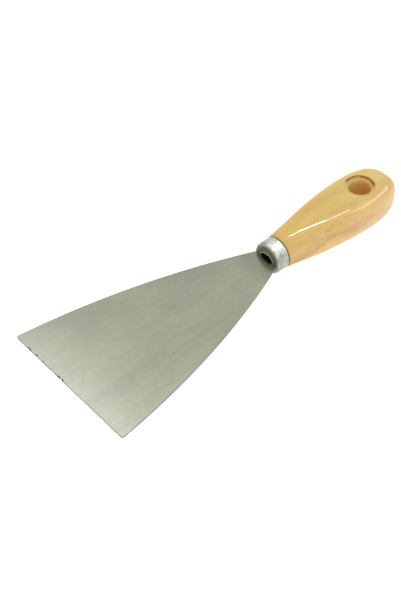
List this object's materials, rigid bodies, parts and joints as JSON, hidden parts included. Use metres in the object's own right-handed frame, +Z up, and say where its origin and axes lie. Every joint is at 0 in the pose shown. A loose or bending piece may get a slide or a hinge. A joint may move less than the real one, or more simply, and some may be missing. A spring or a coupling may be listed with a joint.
{
  "type": "stripping knife",
  "caption": "Hand knife with a stiff flat fan-shaped steel blade, a plated ferrule and a varnished wooden handle with a round-edged hanging hole.",
  "frame": {"origin": "middle of the base of the bounding box, on the table that the knife lies on", "axes": "+X along the knife from the blade's tip edge to the rounded end of the handle, +Y across the blade, +Z up from the table. The knife lies on its tip edge and on the belly of its handle, so the blade slopes up by 4.08 degrees towards +X"},
  "size_m": [0.2, 0.0748, 0.024],
  "materials": {
    "blade_steel": "satin, ground along the blade",
    "ferrule_plating": "dull bright plating with faint drawing marks",
    "varnished_wood": "clear gloss varnish over pale close-grained wood",
    "cement": "matt"
  },
  "bodies": {
    "root": {"blade": "blade_steel", "ferrule": "ferrule_plating", "handle": "varnished_wood", "tang_cement": "cement"}
  },
  "joints": []
}
